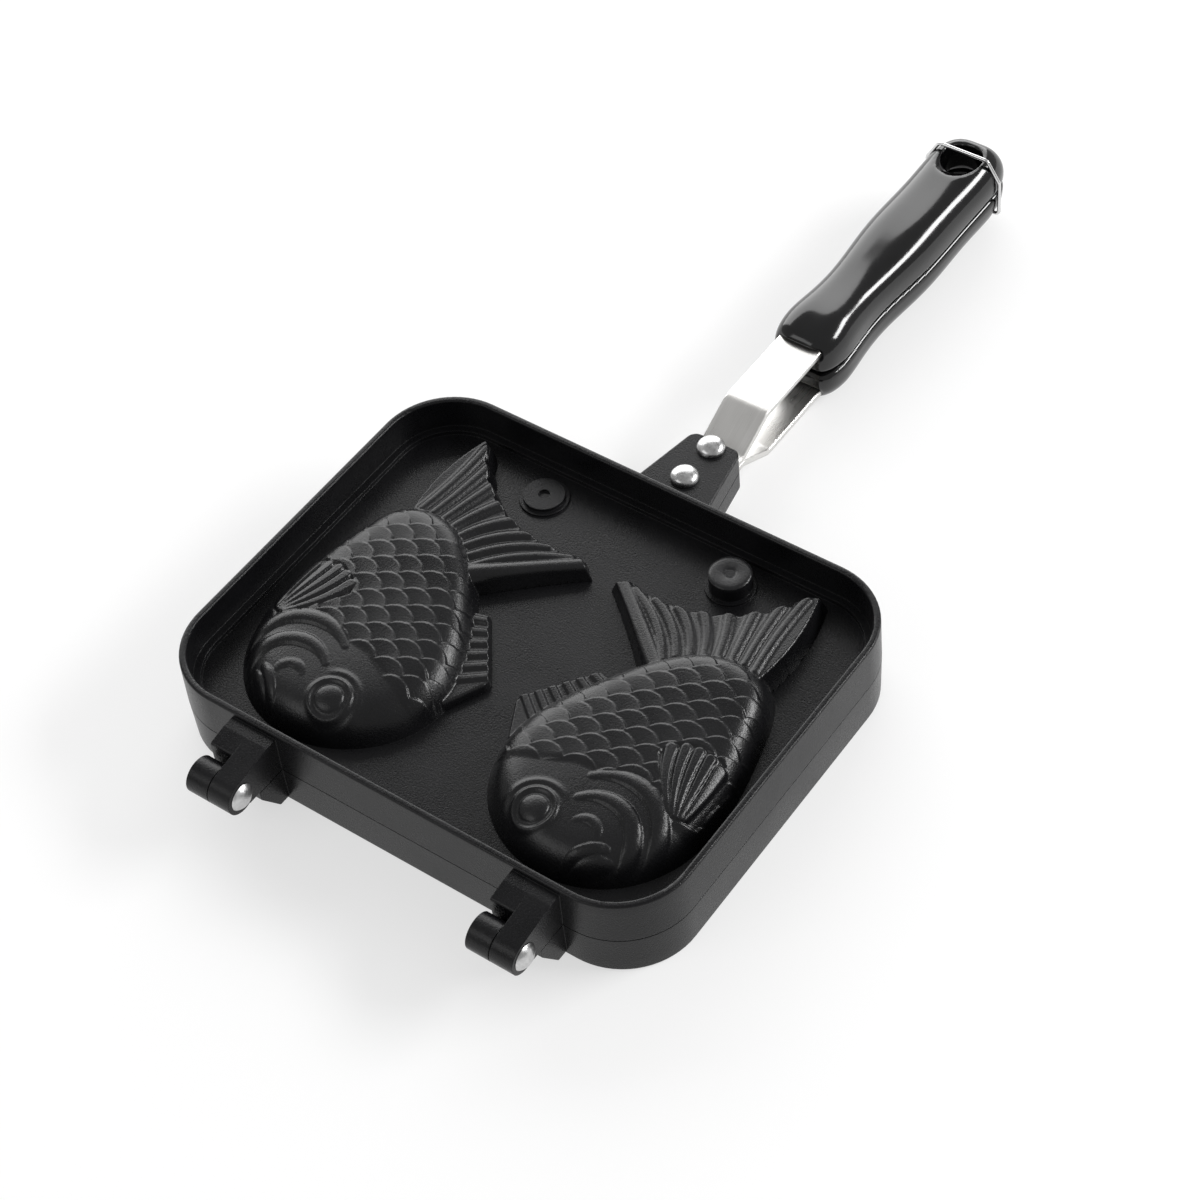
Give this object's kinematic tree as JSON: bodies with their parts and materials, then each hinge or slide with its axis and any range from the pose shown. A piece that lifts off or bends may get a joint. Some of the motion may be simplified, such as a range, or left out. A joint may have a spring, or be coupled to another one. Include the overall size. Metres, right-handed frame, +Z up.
{
  "type": "fish-shaped cake pan",
  "caption": "Hinged two-sided cake pan with paired fish moulds in each half, straps, split grip and a swinging wire bail that locks the halves shut.",
  "frame": {"origin": "centre of the footprint at the level the lower rim rests on", "axes": "+X along the hinge line, +Y from the hinges to the grips, +Z up with the pan closed and the lower half beneath"},
  "size_m": [0.16, 0.319, 0.0284],
  "materials": {
    "coated_cast": "cast aluminium under a black non-stick coating with a fine sparkle",
    "polished_steel": "bright polished",
    "strap_steel": "satin stainless",
    "black_resin": "glossy moulded phenolic resin",
    "zinc_steel": "zinc plated",
    "bright_wire": "bright drawn wire"
  },
  "bodies": {
    "lower_half": {"lower_pan": "coated_cast", "lower_strap": "strap_steel", "lower_rivet_front": "polished_steel", "lower_rivet_rear": "polished_steel", "lower_grip": "black_resin", "lower_grip_screw": "zinc_steel", "hinge_pin_left": "polished_steel", "hinge_pin_right": "polished_steel"},
    "upper_half": {"upper_pan": "coated_cast", "upper_strap": "strap_steel", "upper_rivet_front": "polished_steel", "upper_rivet_rear": "polished_steel", "upper_grip": "black_resin", "upper_grip_screw": "zinc_steel"},
    "bail": {"wire_bail": "bright_wire"}
  },
  "joints": [
    {"name": "lid_hinge", "type": "hinge", "parent": "lower_half", "child": "upper_half", "pos_m": [0, -0.1543, 0.0186], "axis": [1, 0, 0], "range_deg": [0, 180]},
    {"name": "bail_swing", "type": "hinge", "parent": "lower_half", "child": "bail", "pos_m": [0, 0.1491, 0.006], "axis": [-1, 0, 0], "range_deg": [0, 100]}
  ]
}
